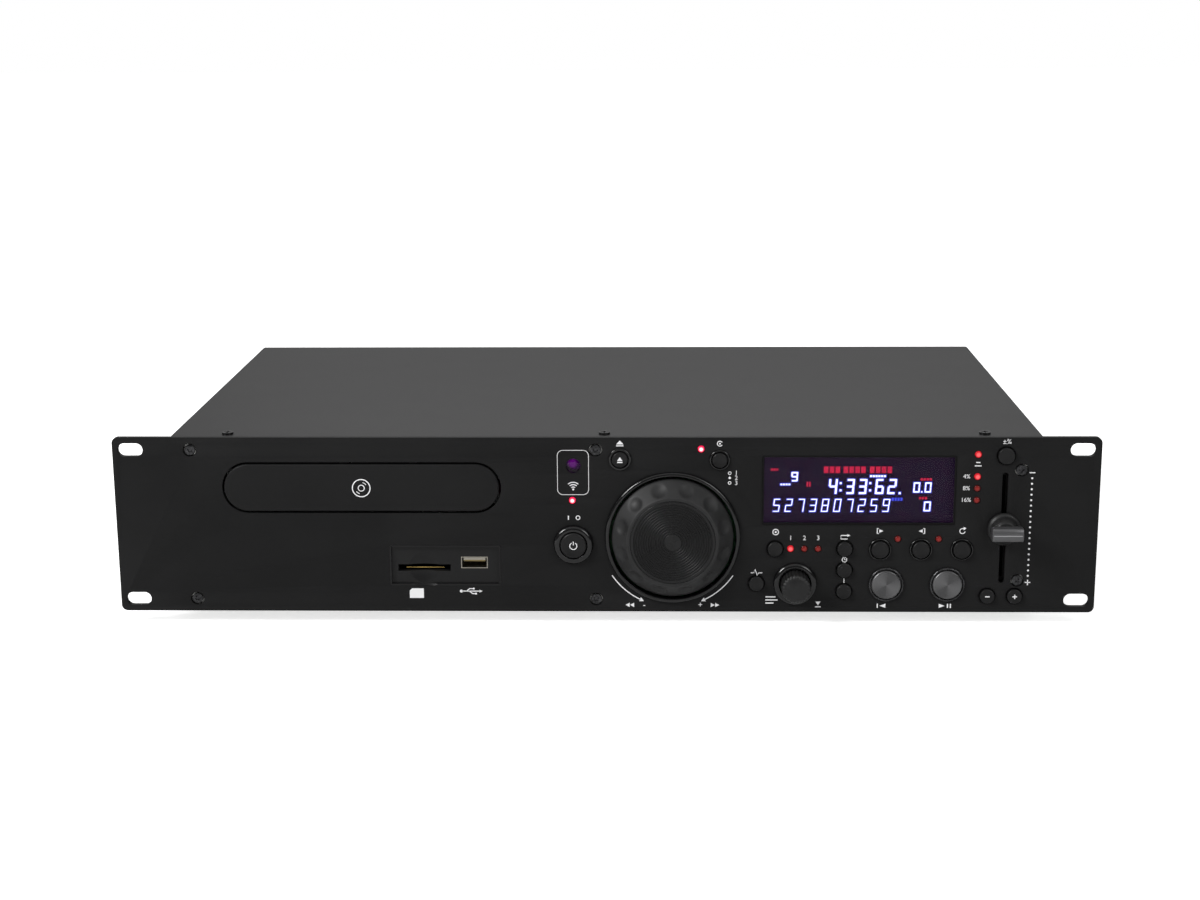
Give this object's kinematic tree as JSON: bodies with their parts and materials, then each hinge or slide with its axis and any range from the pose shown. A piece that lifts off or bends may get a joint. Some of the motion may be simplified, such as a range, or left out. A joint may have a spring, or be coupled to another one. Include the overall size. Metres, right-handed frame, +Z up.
{
  "type": "rack-mount dj disc player",
  "caption": "Two-unit rack-width disc player with a motor-driven disc tray, a jog wheel, a pitch slider, sprung buttons and a card and data-port bay.",
  "frame": {"origin": "under the middle of the whole object, on the surface its feet stand on", "axes": "+Z up, the front panel faces -Y, +X to the right seen from the front"},
  "size_m": [0.483, 0.2734, 0.0952],
  "materials": {
    "panel_paint": "satin black powder coat",
    "case_paint": "fine-textured black paint",
    "zinc_steel": "zinc-plated sheet steel",
    "black_screw": "black oxide",
    "foot_rubber": "matte black rubber",
    "black_button": "matte black moulded cap",
    "smoke_button": "brushed smoke-grey cap",
    "gloss_trim": "glossy black moulding",
    "wheel_plastic": "soft-touch black moulding",
    "pad_rubber": "black with fine concentric grooves",
    "shaft_steel": "ground steel",
    "knob_plastic": "matte black moulding with grip grooves",
    "fader_metal": "satin dark grey metal bar",
    "lamp_red": "clear red lamp",
    "sensor_glass": "dark purple filter",
    "display_glass": "smoked window",
    "display_lit": "deep blue display with lit digits",
    "bay_plastic": "matte black moulding",
    "port_metal": "nickel-plated shell",
    "board_green": "green circuit board",
    "tray_plastic": "matte black moulding",
    "frame_plastic": "dark grey moulding",
    "gear_plastic": "natural white acetal",
    "belt_rubber": "black rubber",
    "lens_block": "black moulding with a glass lens",
    "inlet_plastic": "black moulding with nickel pins",
    "jack_metal": "plated brass"
  },
  "bodies": {
    "case": {"front_panel": "panel_paint", "front_panel_screws": "black_screw", "chassis": "zinc_steel", "top_cover": "case_paint", "rear_panel": "case_paint", "case_screws": "black_screw", "rubber_feet": "foot_rubber", "button_rings": "gloss_trim", "jog_ring": "gloss_trim", "jog_axle": "shaft_steel", "fader_track": "zinc_steel", "lamps": "lamp_red", "sensor_window": "sensor_glass", "display_window": "display_glass", "display_tube": "display_lit", "media_bay": "bay_plastic", "card_slot": "port_metal", "data_port": "port_metal", "control_board": "board_green", "loader_frame": "frame_plastic", "clamp_bridge": "zinc_steel", "loading_motor": "port_metal", "drive_belt": "belt_rubber", "main_board": "board_green", "supply_board": "board_green", "mains_inlet": "inlet_plastic", "output_jacks": "jack_metal"},
    "power_button": {"power_button": "black_button"},
    "open_close_button": {"open_close_button": "black_button"},
    "jog_mode_button": {"jog_mode_button": "black_button"},
    "source_button": {"source_button": "black_button"},
    "bpm_button": {"bpm_button": "black_button"},
    "repeat_button": {"repeat_button": "black_button"},
    "time_button": {"time_button": "black_button"},
    "single_button": {"single_button": "black_button"},
    "loop_in_button": {"loop_in_button": "black_button"},
    "loop_out_button": {"loop_out_button": "black_button"},
    "reloop_button": {"reloop_button": "black_button"},
    "cue_button": {"cue_button": "smoke_button"},
    "play_pause_button": {"play_pause_button": "smoke_button"},
    "pitch_button": {"pitch_button": "black_button"},
    "pitch_bend_minus_button": {"pitch_bend_minus_button": "black_button"},
    "pitch_bend_plus_button": {"pitch_bend_plus_button": "black_button"},
    "jog": {"jog_wheel": "wheel_plastic", "jog_pad": "pad_rubber"},
    "encoder": {"encoder_shaft": "shaft_steel"},
    "track_knob": {"track_knob": "knob_plastic"},
    "pitch_slider": {"pitch_carriage": "bay_plastic", "pitch_knob": "fader_metal"},
    "tray": {"disc_tray": "tray_plastic", "tray_door": "gloss_trim"},
    "pinion": {"pinion": "gear_plastic"},
    "motor_pulley": {"motor_pulley": "gear_plastic"},
    "deck": {"traverse_deck": "zinc_steel", "guide_rods": "shaft_steel", "spindle_motor": "port_metal"},
    "cam": {"cam_slider": "gear_plastic"},
    "turntable": {"turntable": "frame_plastic"},
    "pickup": {"pickup_sled": "lens_block"},
    "puck": {"clamp_puck": "frame_plastic"}
  },
  "joints": [
    {"name": "power_press", "type": "slide", "parent": "case", "child": "power_button", "axis": [0, 1, 0], "range_m": [0, 0.0024], "stiffness_N_per_m": 500, "springref_m": -0.0005},
    {"name": "open_close_press", "type": "slide", "parent": "case", "child": "open_close_button", "axis": [0, 1, 0], "range_m": [0, 0.0006], "stiffness_N_per_m": 800, "springref_m": -0.0005},
    {"name": "jog_mode_press", "type": "slide", "parent": "case", "child": "jog_mode_button", "axis": [0, 1, 0], "range_m": [0, 0.0006], "stiffness_N_per_m": 800, "springref_m": -0.0005},
    {"name": "source_press", "type": "slide", "parent": "case", "child": "source_button", "axis": [0, 1, 0], "range_m": [0, 0.0006], "stiffness_N_per_m": 800, "springref_m": -0.0005},
    {"name": "bpm_press", "type": "slide", "parent": "case", "child": "bpm_button", "axis": [0, 1, 0], "range_m": [0, 0.0006], "stiffness_N_per_m": 800, "springref_m": -0.0005},
    {"name": "repeat_press", "type": "slide", "parent": "case", "child": "repeat_button", "axis": [0, 1, 0], "range_m": [0, 0.0006], "stiffness_N_per_m": 800, "springref_m": -0.0005},
    {"name": "time_press", "type": "slide", "parent": "case", "child": "time_button", "axis": [0, 1, 0], "range_m": [0, 0.0006], "stiffness_N_per_m": 800, "springref_m": -0.0005},
    {"name": "single_press", "type": "slide", "parent": "case", "child": "single_button", "axis": [0, 1, 0], "range_m": [0, 0.0006], "stiffness_N_per_m": 800, "springref_m": -0.0005},
    {"name": "loop_in_press", "type": "slide", "parent": "case", "child": "loop_in_button", "axis": [0, 1, 0], "range_m": [0, 0.0006], "stiffness_N_per_m": 800, "springref_m": -0.0005},
    {"name": "loop_out_press", "type": "slide", "parent": "case", "child": "loop_out_button", "axis": [0, 1, 0], "range_m": [0, 0.0006], "stiffness_N_per_m": 800, "springref_m": -0.0005},
    {"name": "reloop_press", "type": "slide", "parent": "case", "child": "reloop_button", "axis": [0, 1, 0], "range_m": [0, 0.0006], "stiffness_N_per_m": 800, "springref_m": -0.0005},
    {"name": "cue_press", "type": "slide", "parent": "case", "child": "cue_button", "axis": [0, 1, 0], "range_m": [0, 0.001], "stiffness_N_per_m": 800, "springref_m": -0.0005},
    {"name": "play_pause_press", "type": "slide", "parent": "case", "child": "play_pause_button", "axis": [0, 1, 0], "range_m": [0, 0.001], "stiffness_N_per_m": 800, "springref_m": -0.0005},
    {"name": "pitch_press", "type": "slide", "parent": "case", "child": "pitch_button", "axis": [0, 1, 0], "range_m": [0, 0.0006], "stiffness_N_per_m": 800, "springref_m": -0.0005},
    {"name": "pitch_bend_minus_press", "type": "slide", "parent": "case", "child": "pitch_bend_minus_button", "axis": [0, 1, 0], "range_m": [0, 0.0006], "stiffness_N_per_m": 800, "springref_m": -0.0005},
    {"name": "pitch_bend_plus_press", "type": "slide", "parent": "case", "child": "pitch_bend_plus_button", "axis": [0, 1, 0], "range_m": [0, 0.0006], "stiffness_N_per_m": 800, "springref_m": -0.0005},
    {"name": "jog_turn", "type": "hinge", "parent": "case", "child": "jog", "pos_m": [0.0336, -0.1223, 0.0446], "axis": [0, 1, 0], "continuous": true},
    {"name": "track_push", "type": "slide", "parent": "case", "child": "encoder", "axis": [0, 1, 0], "range_m": [0, 0.0005], "stiffness_N_per_m": 1500, "springref_m": -0.0004},
    {"name": "track_turn", "type": "hinge", "parent": "encoder", "child": "track_knob", "pos_m": [0.0941, -0.1223, 0.0211], "axis": [0, 1, 0], "continuous": true},
    {"name": "pitch_slide", "type": "slide", "parent": "case", "child": "pitch_slider", "axis": [0, 0, 1], "range_m": [-0.023, 0.023]},
    {"name": "tray_slide", "type": "slide", "parent": "case", "child": "tray", "axis": [0, -1, 0], "range_m": [0, 0.135]},
    {"name": "pinion_turn", "type": "hinge", "parent": "case", "child": "pinion", "pos_m": [-0.07775, -0.0963, 0.0508], "axis": [0, 0, 1], "range_deg": [-647, 0]},
    {"name": "motor_turn", "type": "hinge", "parent": "case", "child": "motor_pulley", "pos_m": [-0.12125, -0.1003, 0.0508], "axis": [0, 0, 1], "range_deg": [-2326, 0]},
    {"name": "deck_lift", "type": "slide", "parent": "case", "child": "deck", "axis": [0, 0, 1], "range_m": [0, 0.005]},
    {"name": "cam_slide", "type": "slide", "parent": "case", "child": "cam", "axis": [-1, 0, 0], "range_m": [0, 0.01]},
    {"name": "turntable_turn", "type": "hinge", "parent": "deck", "child": "turntable", "pos_m": [-0.11925, -0.0523, 0.0508], "axis": [0, 0, 1], "continuous": true},
    {"name": "pickup_slide", "type": "slide", "parent": "deck", "child": "pickup", "axis": [0, 1, 0], "range_m": [0, 0.035]},
    {"name": "puck_turn", "type": "hinge", "parent": "case", "child": "puck", "pos_m": [-0.11925, -0.0523, 0.0508], "axis": [0, 0, 1], "continuous": true}
  ],
  "couplings": [
    {"joint": "pinion_turn", "follows": "tray_slide", "rad_per_m": -83.333},
    {"joint": "motor_turn", "follows": "tray_slide", "rad_per_m": -300.39},
    {"joint": "cam_slide", "follows": "deck_lift", "ratio": 2}
  ]
}
